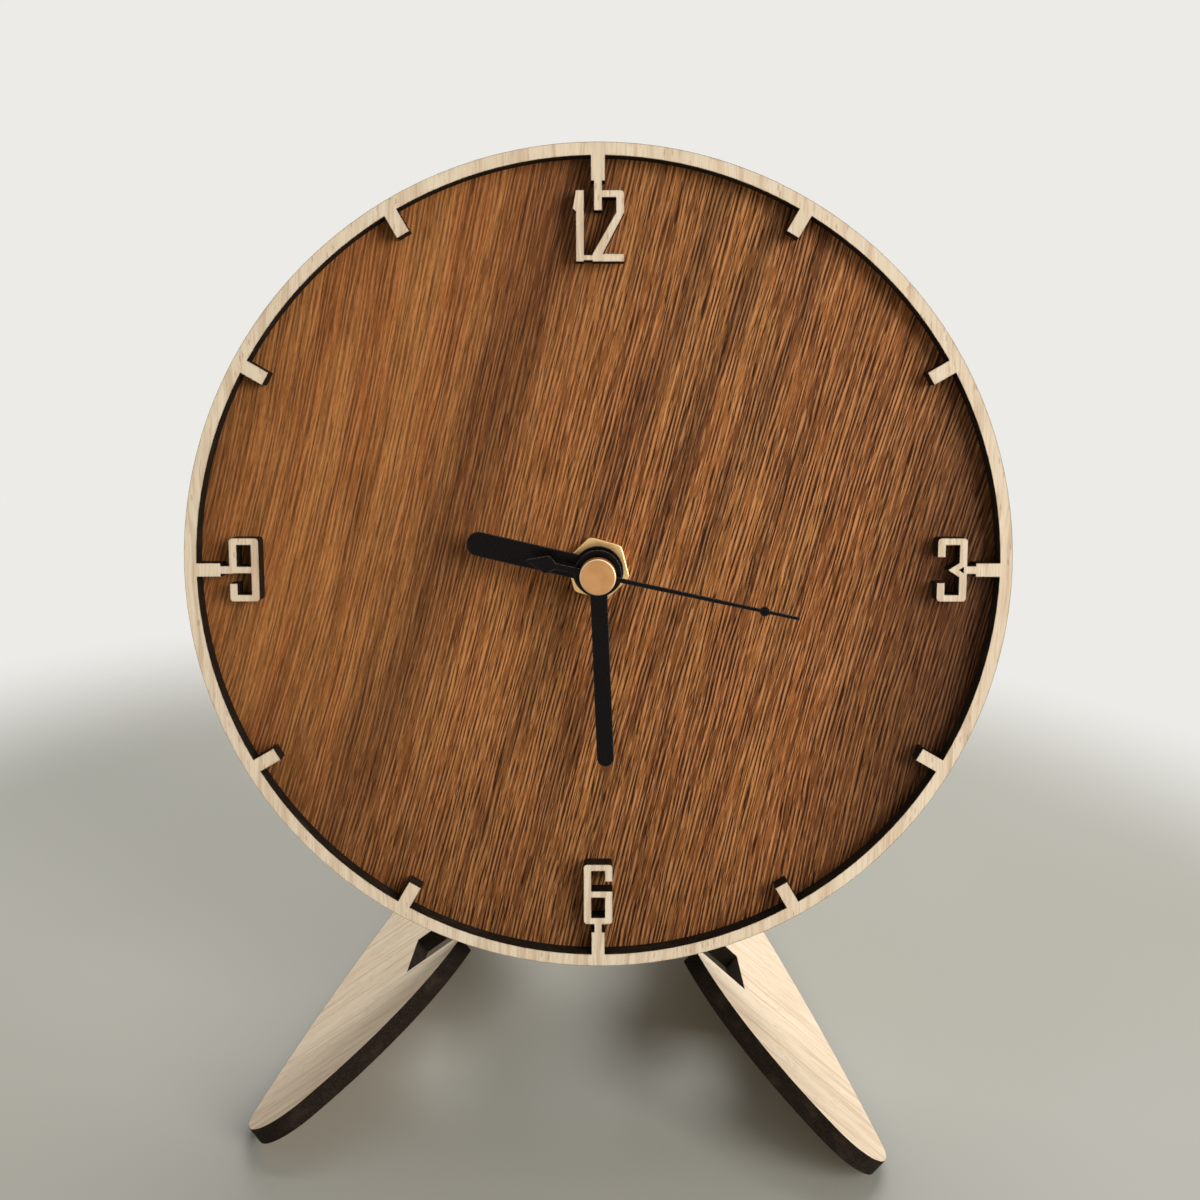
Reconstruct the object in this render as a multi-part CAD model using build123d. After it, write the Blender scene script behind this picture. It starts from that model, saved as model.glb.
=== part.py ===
from build123d import *
import math
import os

# A desk clock: a round wooden head of three layers, leaning back on two oval wooden legs, with
# a quartz movement behind it. Every piece is drawn in the head's own frame, in millimetres:
# x to the viewer's right, y into the head from the ring's front face, z up along the dial.
# At the end the head leans back, the feet are flattened on the table, and the origin goes to the
# middle of the part's footprint, on the table.

# How the head stands, in degrees
lean_back_angle = 9.0
dial_turn_angle = 3.05
leg_slope_angle = 38.9
leg_station_angle = 22.0

# Head boards
dial_radius = 100.0
ring_width = 3.0
ring_depth = 5.0
dial_board_depth = 3.0
backing_board_depth = 3.0
backing_set_back = 3.0

# Hour bars and numerals, cut in one piece with the ring
hour_count = 12
hour_bar_width = 3.3
hour_bar_length = 5.8
bridge_width = 1.9
bridge_length = 2.1
numeral_width = 7.2
numeral_height = 15.4
numeral_stem = 1.9
numeral_bar = 1.65
numeral_corner_radius = 0.9
nine_gap_height = 2.5
three_stub_height = 4.6
three_point_reach = 4.6
three_point_height = 3.5
three_hole_reach = 1.55
three_hole_height = 2.0
three_hole_wall = 0.4
twelve_height = 16.3
two_left = 1.25
two_right = 6.15
two_hook_height = 4.6
two_stem_height = 5.1
two_foot_width = 2.4
two_foot_bar = 1.8
one_right = 3.25
one_flag_reach = 0.75
one_flag_height = 4.2
one_tie_height = 1.2
one_tie_drop = 0.3

# Legs, drawn from the notch's front inner corner: "out" runs down the board, "front" to the viewer
leg_thickness = 4.4
notch_drop = 17.2
notch_width = 22.2
notch_depth = 21.0
tongue_length = 18.6
tongue_tip_radius = 2.3
front_arc_mid = (0.0, 28.4)
toe_corner = (44.9, 46.8)
toe_radius = 14.0
sole_arc_mid = (31.5, -23.0)
heel_corner = (7.4, -100.0)
heel_radius = 14.0
back_arc_mid = (-27.5, -72.0)
fin_corner = (-47.0, -24.0)
fin_corner_radius = 8.0
foot_flat_depth = 1.5
tab_width = 15.0
tab_clearance = 0.1

# Bush, nut and washer that clamp the movement to the head
bush_wall = 1.4
bush_thread_step = 0.75
bush_thread_height = 0.35
bush_proud = 0.8
bush_clearance = 0.3
nut_across_flats = 14.0
nut_thickness = 2.5
nut_corner_radius = 1.6
nut_chamfer = 0.2
nut_turn_angle = 14.6
nut_bore_clearance = 0.05
rubber_washer_radius = 15.0
rubber_washer_depth = 1.0

# Hands: each standoff is from the ring's front face forward to the hand's front plane
hand_thickness = 0.4
hand_round = 0.12
hour_hand_standoff = 3.0
hour_hand_length = 32.2
hour_hand_width = 5.9
hour_hub_radius = 6.1
hour_hand_clock_angle = 283.0
minute_hand_standoff = 7.5
minute_hand_length = 46.8
minute_hand_width = 4.1
minute_hub_radius = 5.6
minute_hand_clock_angle = 177.7
second_hand_standoff = 11.5
second_hand_length = 48.4
second_hand_width = 1.2
second_tip_width = 0.8
second_bead_radius = 1.2
second_bead_place = 40.0
second_hub_radius = 2.2
second_hand_clock_angle = 102.2
second_tail_width = 1.5
spade_start = 10.2
spade_widest = 12.3
spade_end = 17.0
spade_width = 4.3
spade_shoulder_share = 0.8
spade_tip_width = 0.4
collar_wall = 1.0
collar_gap = 0.3
cap_radius = 4.3
cap_depth = 3.5
cap_round = 0.45
cap_pin_depth = 1.0

# Movement case and cover
movement_corner_radius = 4.0
case_wall = 1.4
gear_room_drop = 10.2
cover_thickness = 1.4
cover_lip_depth = 1.2
cover_lip_wall = 1.0
case_clearance = 0.1
snap_width = 8.0
snap_length = 7.0
snap_thickness = 1.0
snap_window_width = 5.0
snap_window_height = 2.0
snap_window_drop = 4.0
snap_ledge = 0.8
grille_slot_width = 1.2
grille_slot_length = 12.0
grille_slot_count = 5
grille_slot_step = 2.6
grille_centre = (-11.0, 19.0)

# Battery, size AA, and its contacts
battery_radius = 7.05
battery_can_length = 49.3
battery_nub_radius = 2.7
battery_nub_length = 1.2
battery_round = 0.6
battery_end_room = 1.35
battery_side_room = 0.45
contact_thickness = 0.4
contact_width = 4.0
contact_pad_side = 9.0
contact_bump_radius = 3.6
contact_bump_tip_radius = 2.4

# Gear train: the first layer is measured from the case's inner front wall, each next from the last
pivot_radius = 0.3
pivot_length = 0.8
arbor_radius = 0.45
running_clearance = 0.05
wheel_thickness = 0.8
hour_layer = 0.3
minute_gap = 0.6
centre_gap = 0.4
third_gap = 1.8
wheel_gap = 0.4
plate_gap = 0.3
arbor_gap = 0.38
gear_plate_thickness = 1.0
gear_plate_size = (38.0, 26.0)
gear_plate_gap = 1.0
hour_wheel_thickness = 1.3
minute_pinion_thickness = 1.0
second_arbor_radius = 0.5
pipe_clearance = 0.1
minute_pipe_wall = 1.0
minute_barrel_wall = 0.6
hour_pipe_wall = 0.8
pipe_proud = 0.3
centre_hub_wall = 1.0
train_reach = 7.2
stem_radius = 1.2
knob_radius = 6.0
knob_depth = 4.0
knob_gap = 0.4
knob_flute_count = 24
knob_flute_radius = 0.45
post_radius = 1.3

# Where each arbor stands round the one before it, in degrees from x towards z
third_direction = 165.0
minute_wheel_direction = 20.0
intermediate_direction = 90.0
rotor_direction = 70.0
setting_direction = -40.0

# Tooth counts
rotor_pinion_teeth = 6
intermediate_wheel_teeth = 30
intermediate_pinion_teeth = 10
second_wheel_teeth = 60
second_pinion_teeth = 8
third_wheel_teeth = 64
third_pinion_teeth = 8
centre_wheel_teeth = 60
cannon_pinion_teeth = 12
minute_wheel_teeth = 36
minute_pinion_teeth = 10
hour_wheel_teeth = 40
setting_pinion_teeth = 9

# Tooth form: heights in modules, half widths as shares of the pitch angle
tooth_tip_share = 0.8
tooth_root_share = 1.1
tooth_root_half_share = 0.26
tooth_pitch_half_share = 0.2
tooth_tip_half_share = 0.09

# Motor and electronics
rotor_magnet_radius = 3.0
rotor_magnet_depth = 2.6
rotor_hub_radius = 0.6
stator_thickness = 1.0
stator_width = 24.0
stator_air_gap = 0.4
stator_web = 0.7
stator_arbor_gap = 0.85
stator_arm_width = 4.0
stator_core_width = 2.6
coil_gap = 1.04
coil_bobbin_wall = 0.8
coil_bobbin_radius = 4.0
coil_bobbin_gap = 0.2
coil_flange = 1.0
coil_winding_radius = 3.7
board_thickness = 0.8
board_height = 13.0
board_gap = 2.6
board_back_room = 0.2
crystal_radius = 0.9
crystal_length = 6.2
crystal_round_share = 0.25
crystal_place = (12.0, 4.0)
chip_side = 6.0
chip_thickness = 0.9
chip_place = (-6.0, 6.5)

overrun = 1.0

def polar(reach, angle, centre=(0, 0)):
    """A point at a distance and an angle from another, in x and z."""
    along = math.radians(angle)
    return (centre[0] + reach * math.cos(along), centre[1] + reach * math.sin(along))


def gear_module(reach, first_teeth, second_teeth):
    """The module that puts two gears in mesh at a centre distance."""
    return 2 * reach / (first_teeth + second_teeth)


def tip_radius(teeth, module):
    """How far a gear's teeth reach."""
    return teeth * module / 2 + tooth_tip_share * module


# Dial
ring_inner_radius = dial_radius - ring_width
bar_inner_radius = ring_inner_radius - hour_bar_length
numeral_outer_radius = bar_inner_radius - bridge_length
dial_front = ring_depth
backing_front = dial_front + dial_board_depth
head_back = backing_front + backing_board_depth

# Pipes, one inside the other, and the bush round them
minute_pipe_bore_radius = second_arbor_radius + pipe_clearance
minute_barrel_radius = minute_pipe_bore_radius + minute_barrel_wall
minute_pipe_radius = minute_pipe_bore_radius + minute_pipe_wall
hour_pipe_bore_radius = minute_pipe_radius + pipe_clearance
hour_pipe_radius = hour_pipe_bore_radius + hour_pipe_wall
bush_bore_radius = hour_pipe_radius + pipe_clearance
bush_radius = bush_bore_radius + bush_wall
board_hole_radius = bush_radius + bush_clearance
centre_hub_radius = minute_barrel_radius + centre_hub_wall
bush_front = -bush_proud
hour_hand_front = -hour_hand_standoff
minute_hand_front = -minute_hand_standoff
second_hand_front = -second_hand_standoff

# Layers of the movement, from the case's inner front wall
minute_layer = hour_layer + hour_wheel_thickness + minute_gap
centre_layer = minute_layer + minute_pinion_thickness + centre_gap
third_layer = centre_layer + wheel_thickness + third_gap
second_layer = third_layer + wheel_thickness + wheel_gap
intermediate_layer = second_layer + wheel_thickness + wheel_gap
plate_layer = intermediate_layer + wheel_thickness + plate_gap
board_layer = plate_layer + gear_plate_thickness + case_clearance
rotor_magnet_layer = centre_layer
stator_layer = rotor_magnet_layer + (rotor_magnet_depth - stator_thickness) / 2
case_front = head_back + rubber_washer_depth
case_inside = case_front + case_wall
board_back = case_inside + board_layer + board_thickness
case_back = board_back + 2 * crystal_radius + board_back_room
cover_back = case_back + cover_thickness

# Arbors, and the modules of the gears between them
second_module = gear_module(train_reach, second_pinion_teeth, third_wheel_teeth)
third_module = gear_module(train_reach, third_pinion_teeth, centre_wheel_teeth)
cannon_module = gear_module(train_reach, cannon_pinion_teeth, minute_wheel_teeth)
hour_module = gear_module(train_reach, minute_pinion_teeth, hour_wheel_teeth)
stator_hole_radius = rotor_magnet_radius + stator_air_gap
escape_reach = tip_radius(centre_wheel_teeth, third_module) + arbor_radius + arbor_gap
rotor_reach = stator_hole_radius + stator_web + arbor_radius + stator_arbor_gap
setting_reach = cannon_module * (minute_wheel_teeth + setting_pinion_teeth) / 2
intermediate_module = gear_module(escape_reach, intermediate_pinion_teeth, second_wheel_teeth)
rotor_module = gear_module(rotor_reach, rotor_pinion_teeth, intermediate_wheel_teeth)
third_centre = polar(train_reach, third_direction)
minute_wheel_centre = polar(train_reach, minute_wheel_direction)
intermediate_centre = polar(escape_reach, intermediate_direction)
rotor_centre = polar(rotor_reach, rotor_direction, intermediate_centre)
setting_centre = polar(setting_reach, setting_direction, minute_wheel_centre)
pivot_centres = (third_centre, minute_wheel_centre, intermediate_centre, rotor_centre)

# The case's rooms: the battery bay below, the gear room above it, with the coil at its top
cavity_half = (battery_can_length + battery_nub_length) / 2 + battery_end_room
movement_half = cavity_half + case_wall
gear_floor = -gear_room_drop
bay_top = gear_floor - case_wall
bay_floor = bay_top - 2 * (battery_radius + battery_side_room)
stator_yoke_bottom = rotor_centre[1] - stator_hole_radius - stator_web
stator_yoke_top = rotor_centre[1] + stator_hole_radius + stator_web
coil_height = stator_yoke_top + coil_gap + coil_bobbin_radius
room_top = coil_height + coil_bobbin_radius + coil_gap
case_top = room_top + case_wall
case_bottom = bay_floor - case_wall
board_half = cavity_half - contact_thickness
board_bottom = room_top - board_gap - board_height
battery_left = -(battery_can_length + battery_nub_length) / 2
battery_right = battery_left + battery_can_length


def slab(face, front, back):
    """A face drawn in x and z, as a solid between two depths."""
    plane = Plane(origin=(0, back, 0), x_dir=(1, 0, 0), z_dir=(0, -1, 0))
    return extrude(plane * face, amount=back - front, dir=(0, -1, 0))


def rod(radius, front, back, centre=(0, 0)):
    """A round bar along the depth."""
    return slab(Pos(*centre) * Circle(radius), front, back)


def tube(outer_radius, inner_radius, front, back, centre=(0, 0)):
    """A round tube along the depth."""
    return slab(Pos(*centre) * (Circle(outer_radius) - Circle(inner_radius)), front, back)


def patch(left, right, bottom, top):
    """A flat rectangle between two widths and two heights."""
    return Pos((left + right) / 2, (bottom + top) / 2) * Rectangle(right - left, top - bottom)


def block(left, right, front, back, bottom, top):
    """A box between two widths, two depths and two heights."""
    return slab(patch(left, right, bottom, top), front, back)


def one_solid(shape):
    """The single solid of a result that may come as a list."""
    solids = shape.solids()
    if len(solids) == 1:
        return solids[0]
    return Compound(children=list(solids))


# Numerals


def nine_face():
    """The nine: a rounded block with two windows and a gap at its lower left."""
    half_width = numeral_width / 2
    half_height = numeral_height / 2
    inner = half_width - numeral_stem
    waist = numeral_bar / 2
    face = RectangleRounded(numeral_width, numeral_height, numeral_corner_radius)
    face -= patch(-inner, inner, waist, half_height - numeral_bar)
    face -= patch(-inner, inner, numeral_bar - half_height, -waist)
    face -= patch(-half_width - overrun, -inner + numeral_stem / 2, -waist - nine_gap_height, -waist)
    return face


def three_face():
    """The three: rounded outside, with a point in the middle and a small hole in the point."""
    half_width = numeral_width / 2
    half_height = numeral_height / 2
    inner = half_width - numeral_stem
    stub = half_height - three_stub_height
    half_point = three_point_height / 2
    half_hole = three_hole_height / 2
    hole_right = half_width - three_hole_wall
    face = RectangleRounded(numeral_width, numeral_height, numeral_corner_radius)
    face -= patch(-inner, inner, numeral_bar - half_height, half_height - numeral_bar)
    face -= patch(-half_width - overrun, numeral_stem / 2 - inner, -stub, stub)
    tip = half_width - three_point_reach
    face += make_face(Polyline((tip, 0), (inner, -half_point), (inner + numeral_stem / 2, -half_point),
                               (inner + numeral_stem / 2, half_point), (inner, half_point), (tip, 0)))
    face -= make_face(Polyline((hole_right - three_hole_reach, 0), (hole_right, -half_hole),
                               (hole_right, half_hole), (hole_right - three_hole_reach, 0)))
    return face


def two_face(top):
    """The two of the twelve, hung from the bridge, which is its left hook."""
    bottom = top - twelve_height
    foot_top = bottom + two_foot_bar
    stem_foot = top - two_stem_height
    stem_left = two_right - numeral_stem
    face = patch(-bridge_width / 2, two_right, top - numeral_bar, top)
    face += patch(stem_left, two_right, stem_foot, top)
    corner = face.vertices().sort_by(Axis.X)[-2:].sort_by(Axis.Y)[-1]
    face = fillet(corner, numeral_corner_radius)
    face += patch(-bridge_width / 2, bridge_width / 2, top - two_hook_height, top)
    face += patch(-two_left, two_right, bottom, foot_top)
    face += make_face(Polyline((stem_left, stem_foot), (two_right, stem_foot),
                               (two_foot_width - two_left, foot_top), (-two_left, foot_top),
                               (stem_left, stem_foot)))
    return face


def one_face(top):
    """The one of the twelve, with its flag, tied to the foot of the two."""
    bottom = top - twelve_height
    stem_left = -one_right - numeral_stem
    flag_foot = top - one_flag_height
    tie_bottom = bottom + one_tie_drop
    face = patch(stem_left, -one_right, bottom, top)
    face += make_face(Polyline((stem_left, top), (stem_left - one_flag_reach, flag_foot),
                               (stem_left, flag_foot - one_flag_reach), (stem_left, top)))
    face += patch(-one_right, -two_left, tie_bottom, tie_bottom + one_tie_height)
    return face


def ring_face():
    """The ring with its hour bars and four numerals, upright."""
    face = Circle(dial_radius) - Circle(ring_inner_radius)
    for hour in range(hour_count):
        bar = patch(-hour_bar_width / 2, hour_bar_width / 2, bar_inner_radius,
                    ring_inner_radius + ring_width / 2)
        face += Rot(0, 0, hour * 360 / hour_count) * bar
    bridge = patch(-bridge_width / 2, bridge_width / 2, numeral_outer_radius - numeral_bar / 2,
                   bar_inner_radius + overrun)
    for quarter in range(4):
        face += Rot(0, 0, quarter * 90) * bridge
    side = numeral_outer_radius - numeral_width / 2
    low = numeral_outer_radius - numeral_height / 2
    face += Pos(side, 0) * three_face()
    face += Pos(-side, 0) * nine_face()
    face += Pos(0, -low) * Rot(0, 0, 180) * nine_face()
    face += two_face(numeral_outer_radius)
    face += one_face(numeral_outer_radius)
    return face


def turned(shape):
    """A shape of the dial, turned with the dial in its stand."""
    return Rot(0, -dial_turn_angle, 0) * shape


def dial_ring():
    return turned(slab(ring_face(), 0, ring_depth))


def dial_board():
    return tube(dial_radius, board_hole_radius, dial_front, backing_front)


def backing_board():
    """The hidden board behind the dial, with a mortise for each leg's tab."""
    board = tube(dial_radius - backing_set_back, board_hole_radius, backing_front, head_back)
    for side in (-1, 1):
        board -= leg_place(side, tab_slot())
    return board


# Legs


def leg_point(out, front):
    """A point of the left leg's upper face, in the head's frame."""
    slope = math.radians(leg_slope_angle)
    station = math.radians(leg_station_angle)
    reach = dial_radius + notch_drop
    x = -reach * math.sin(station) - out * math.cos(slope)
    z = -reach * math.cos(station) - out * math.sin(slope)
    return Vector(x, head_back - front, z)


def leg_place(side, board):
    """A board drawn in out and front, thick below its face, on the left or right of the stand."""
    slope = math.radians(leg_slope_angle)
    plane = Plane(origin=leg_point(0, 0), x_dir=(-math.cos(slope), 0, -math.sin(slope)),
                  z_dir=(-math.sin(slope), 0, math.cos(slope)))
    placed = plane * board
    if side > 0:
        placed = mirror(placed, about=Plane.YZ)
    return placed


def tab_face(clearance):
    """The tab on the fin's front edge, or its mortise when given a clearance."""
    middle = (fin_corner[0] - notch_depth) / 2
    half = tab_width / 2 + clearance
    return patch(middle - half, middle + half, -overrun, backing_board_depth)


def tab_slot():
    """What a leg's tab takes out of the backing board."""
    deep = leg_thickness + tab_clearance
    middle = (fin_corner[0] - notch_depth) / 2
    half = tab_width / 2 + tab_clearance
    slot = patch(middle - half, middle + half, -overrun, backing_board_depth + overrun)
    return Pos(0, 0, -deep) * extrude(slot, amount=deep + tab_clearance)


def leg_face():
    """A leg's outline: an oval board, notched, with a fin and a tab that go behind the dial."""
    tongue = (-tongue_length, 0)
    outline = [
        Line((-notch_depth, 0), (-notch_depth, -notch_width)),
        Line((-notch_depth, -notch_width), (0, -notch_width)),
        Line((0, -notch_width), (0, 0)),
        Line((0, 0), tongue),
        ThreePointArc(tongue, front_arc_mid, toe_corner),
        ThreePointArc(toe_corner, sole_arc_mid, heel_corner),
        ThreePointArc(heel_corner, back_arc_mid, fin_corner),
        Line(fin_corner, (fin_corner[0], 0)),
        Line((fin_corner[0], 0), (-notch_depth, 0)),
    ]
    face = make_face(outline)
    for corner, radius in ((tongue, tongue_tip_radius), (toe_corner, toe_radius),
                           (heel_corner, heel_radius), (fin_corner, fin_corner_radius)):
        vertex = face.vertices().sort_by_distance(Vector(*corner, 0))[0]
        face = fillet(vertex, radius)
    return face + tab_face(0)


def leg_blank(side):
    """A whole leg before its foot is flattened."""
    return leg_place(side, Pos(0, 0, -leg_thickness) * extrude(leg_face(), amount=leg_thickness))


# Clamping parts


def threaded_bush():
    """The brass bush, with grooves for its thread in front of the case."""
    half_step = bush_thread_step / 2
    root = bush_radius - bush_thread_height
    turns = int((case_front - bush_front) / bush_thread_step)
    points = [(bush_bore_radius, bush_front), (root, bush_front)]
    for turn in range(turns):
        start = bush_front + turn * bush_thread_step
        points += [(bush_radius, start + half_step), (root, start + bush_thread_step)]
    points += [(bush_radius, case_front), (bush_radius, case_inside), (bush_bore_radius, case_inside)]
    return revolve(make_face(Polyline(*points, close=True)), axis=Axis.Y)


def hex_nut():
    """The hexagon nut on the dial's face, with rounded corners and a chamfered front."""
    hexagon = RegularPolygon(nut_across_flats / 2, 6, major_radius=False)
    hexagon = fillet(hexagon.vertices(), nut_corner_radius)
    hexagon = Rot(0, 0, 90 + nut_turn_angle) * hexagon
    nut = slab(hexagon, dial_front - nut_thickness, dial_front)
    front = nut.faces().sort_by(Axis.Y)[0]
    nut = chamfer(front.edges(), nut_chamfer)
    return nut - rod(bush_radius + nut_bore_clearance, dial_front - nut_thickness - overrun,
                     dial_front + overrun)


def rubber_washer():
    return tube(rubber_washer_radius, board_hole_radius, head_back, case_front)


# Hands


def hand_face(length, width, hub_radius):
    """A straight hand with a round end and a round hub, pointing up."""
    half = width / 2
    return patch(-half, half, 0, length - half) + Pos(0, length - half) * Circle(half) + Circle(hub_radius)


def hand_plate(face, front, clock_angle):
    """A stamped hand at its place on the dial, its front edges slightly rounded."""
    plate = slab(Rot(0, 0, -clock_angle) * face, front, front + hand_thickness)
    rim = plate.faces().sort_by(Axis.Y)[0].outer_wire()
    return chamfer(rim.edges(), hand_round)


def hand_with_collar(plate, front, pipe_radius, collar_back):
    """A hand with the collar that grips its pipe, bored to the pipe's size."""
    collar = rod(pipe_radius + collar_wall, front + hand_thickness / 2, collar_back)
    bore = rod(pipe_radius, front - overrun, collar_back + overrun)
    return plate + collar - bore


def hour_hand():
    face = hand_face(hour_hand_length, hour_hand_width, hour_hub_radius)
    plate = hand_plate(face, hour_hand_front, hour_hand_clock_angle)
    return hand_with_collar(plate, hour_hand_front, hour_pipe_radius, bush_front - collar_gap)


def minute_hand():
    face = hand_face(minute_hand_length, minute_hand_width, minute_hub_radius)
    plate = hand_plate(face, minute_hand_front, minute_hand_clock_angle)
    return hand_with_collar(plate, minute_hand_front, minute_pipe_radius,
                            hour_hand_front - pipe_proud - collar_gap)


def second_hand_face():
    """A thin tapering hand with a bead near its tip and a spade on its tail."""
    half = second_hand_width / 2
    tip = second_tip_width / 2
    tail = second_tail_width / 2
    spade = spade_width / 2
    shoulder = (spade_start + spade_widest) / 2
    face = make_face(Polyline((-half, 0), (-tip, second_hand_length), (tip, second_hand_length),
                              (half, 0), close=True))
    face += Pos(0, second_bead_place) * Circle(second_bead_radius)
    face += patch(-tail, tail, -spade_widest, 0)
    right = [(tail, -spade_start), (spade * spade_shoulder_share, -shoulder), (spade, -spade_widest),
             (spade_tip_width / 2, -spade_end)]
    left = [(-x, y) for x, y in reversed(right)]
    face += make_face(Polyline(*right, *left, close=True))
    face += Circle(second_hub_radius)
    return face


def second_hand():
    plate = hand_plate(second_hand_face(), second_hand_front, second_hand_clock_angle)
    return hand_with_collar(plate, second_hand_front, second_arbor_radius,
                            minute_hand_front - pipe_proud - collar_gap)


def hand_cap():
    """The round brass cap in front of the second hand, bored for the arbor's end."""
    cap = rod(cap_radius, second_hand_front - cap_depth, second_hand_front)
    cap = fillet(cap.faces().sort_by(Axis.Y)[0].edges(), cap_round)
    pin = cap_pin_depth + running_clearance
    return cap - rod(second_arbor_radius, second_hand_front - pin, second_hand_front + overrun)


# Gear train


def gear_face(teeth, module, phase):
    """A wheel's face with tapered teeth; the phase turns one tooth to that angle, in degrees."""
    pitch_radius = teeth * module / 2
    root_radius = pitch_radius - tooth_root_share * module
    outer_radius = tip_radius(teeth, module)
    step = 2 * math.pi / teeth
    points = []
    for tooth in range(teeth):
        middle = math.radians(phase) + tooth * step
        for radius, share in ((root_radius, -tooth_root_half_share), (pitch_radius, -tooth_pitch_half_share),
                              (outer_radius, -tooth_tip_half_share), (outer_radius, tooth_tip_half_share),
                              (pitch_radius, tooth_pitch_half_share), (root_radius, tooth_root_half_share)):
            angle = middle + share * step
            points.append((radius * math.cos(angle), radius * math.sin(angle)))
    return make_face(Polyline(*points, close=True))


def meshed_phase(teeth, direction, driver_teeth, driver_phase):
    """Phase of a gear in mesh with a driver that lies before it in the given direction."""
    driver_share = (direction - driver_phase) * driver_teeth / 360
    return direction + 180 - (0.5 - driver_share) * 360 / teeth


def gear(teeth, module, phase, layer, thickness, centre):
    """A toothed disc at its place."""
    front = case_inside + layer
    return slab(Pos(*centre) * gear_face(teeth, module, phase), front, front + thickness)


def arbor(centre):
    """A straight arbor with a pivot in the case wall and one in the gear plate."""
    rear = case_inside + plate_layer
    shaft = rod(arbor_radius, case_inside + running_clearance, rear - running_clearance, centre)
    return shaft + rod(pivot_radius, case_inside - pivot_length, rear + pivot_length, centre)


def second_wheel():
    """The second wheel and pinion on the long arbor that carries the second hand."""
    rear = case_inside + plate_layer
    arbor_front = second_hand_front - cap_pin_depth
    turning = rod(second_arbor_radius, arbor_front, rear - running_clearance)
    turning += rod(pivot_radius, rear - overrun, rear + pivot_length)
    wheel_phase = intermediate_direction + 180 / second_wheel_teeth
    turning += gear(second_wheel_teeth, intermediate_module, wheel_phase, second_layer,
                    wheel_thickness, (0, 0))
    turning += gear(second_pinion_teeth, second_module, third_direction, third_layer,
                    second_layer - third_layer, (0, 0))
    return turning


def third_wheel():
    """The third wheel, driven by the second pinion, with the pinion that drives the centre wheel."""
    wheel_phase = third_direction + 180 + 180 / third_wheel_teeth
    turning = arbor(third_centre)
    turning += gear(third_wheel_teeth, second_module, wheel_phase, third_layer,
                    wheel_thickness, third_centre)
    turning += gear(third_pinion_teeth, third_module, third_direction + 180, centre_layer,
                    third_layer - centre_layer, third_centre)
    return turning


def centre_wheel():
    """The wheel that slips on the minute pipe when the hands are set."""
    wheel_phase = third_direction + 180 / centre_wheel_teeth
    front = case_inside + centre_layer
    wheel = gear(centre_wheel_teeth, third_module, wheel_phase, centre_layer, wheel_thickness, (0, 0))
    wheel += rod(centre_hub_radius, front - running_clearance * 2, front + wheel_thickness)
    return wheel - rod(minute_barrel_radius + running_clearance, front - overrun,
                       front + wheel_thickness + overrun)


def minute_pipe():
    """The minute pipe with its cannon pinion and the barrel for the centre wheel."""
    pinion_front = case_inside + minute_layer
    barrel_back = case_inside + centre_layer + wheel_thickness + running_clearance
    pipe = rod(minute_pipe_radius, minute_hand_front - pipe_proud, pinion_front)
    pipe += gear(cannon_pinion_teeth, cannon_module, minute_wheel_direction, minute_layer,
                 minute_pinion_thickness, (0, 0))
    pipe += rod(minute_barrel_radius, pinion_front, barrel_back)
    return pipe - rod(minute_pipe_bore_radius, minute_hand_front - overrun, barrel_back + overrun)


def minute_wheel_phase():
    """Phase of the minute wheel, in mesh with the cannon pinion."""
    return minute_wheel_direction + 180 + 180 / minute_wheel_teeth


def minute_wheel():
    """The minute wheel, driven by the cannon pinion, with the pinion that drives the hour wheel."""
    turning = arbor(minute_wheel_centre)
    turning += gear(minute_wheel_teeth, cannon_module, minute_wheel_phase(), minute_layer,
                    wheel_thickness, minute_wheel_centre)
    turning += gear(minute_pinion_teeth, hour_module, minute_wheel_direction + 180, hour_layer,
                    minute_layer - hour_layer, minute_wheel_centre)
    return turning


def hour_wheel():
    """The hour wheel and its pipe, round the minute pipe."""
    front = case_inside + hour_layer
    wheel_phase = minute_wheel_direction + 180 / hour_wheel_teeth
    wheel = gear(hour_wheel_teeth, hour_module, wheel_phase, hour_layer, hour_wheel_thickness, (0, 0))
    wheel += rod(hour_pipe_radius, hour_hand_front - pipe_proud, front)
    return wheel - rod(hour_pipe_bore_radius, hour_hand_front - overrun,
                       front + hour_wheel_thickness + overrun)


def intermediate_wheel():
    """The wheel between the rotor and the second wheel."""
    wheel_phase = rotor_direction + 180 / intermediate_wheel_teeth
    turning = arbor(intermediate_centre)
    turning += gear(intermediate_wheel_teeth, rotor_module, wheel_phase, intermediate_layer,
                    wheel_thickness, intermediate_centre)
    turning += gear(intermediate_pinion_teeth, intermediate_module, intermediate_direction + 180,
                    second_layer, intermediate_layer - second_layer, intermediate_centre)
    return turning


def rotor_pinion():
    """The rotor's arbor with its pinion."""
    turning = arbor(rotor_centre)
    magnet_front = case_inside + rotor_magnet_layer
    turning += rod(rotor_hub_radius, magnet_front, magnet_front + rotor_magnet_depth, rotor_centre)
    turning += gear(rotor_pinion_teeth, rotor_module, rotor_direction + 180, intermediate_layer,
                    wheel_thickness, rotor_centre)
    return turning


def rotor_magnet():
    front = case_inside + rotor_magnet_layer
    return tube(rotor_magnet_radius, rotor_hub_radius, front, front + rotor_magnet_depth, rotor_centre)


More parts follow.
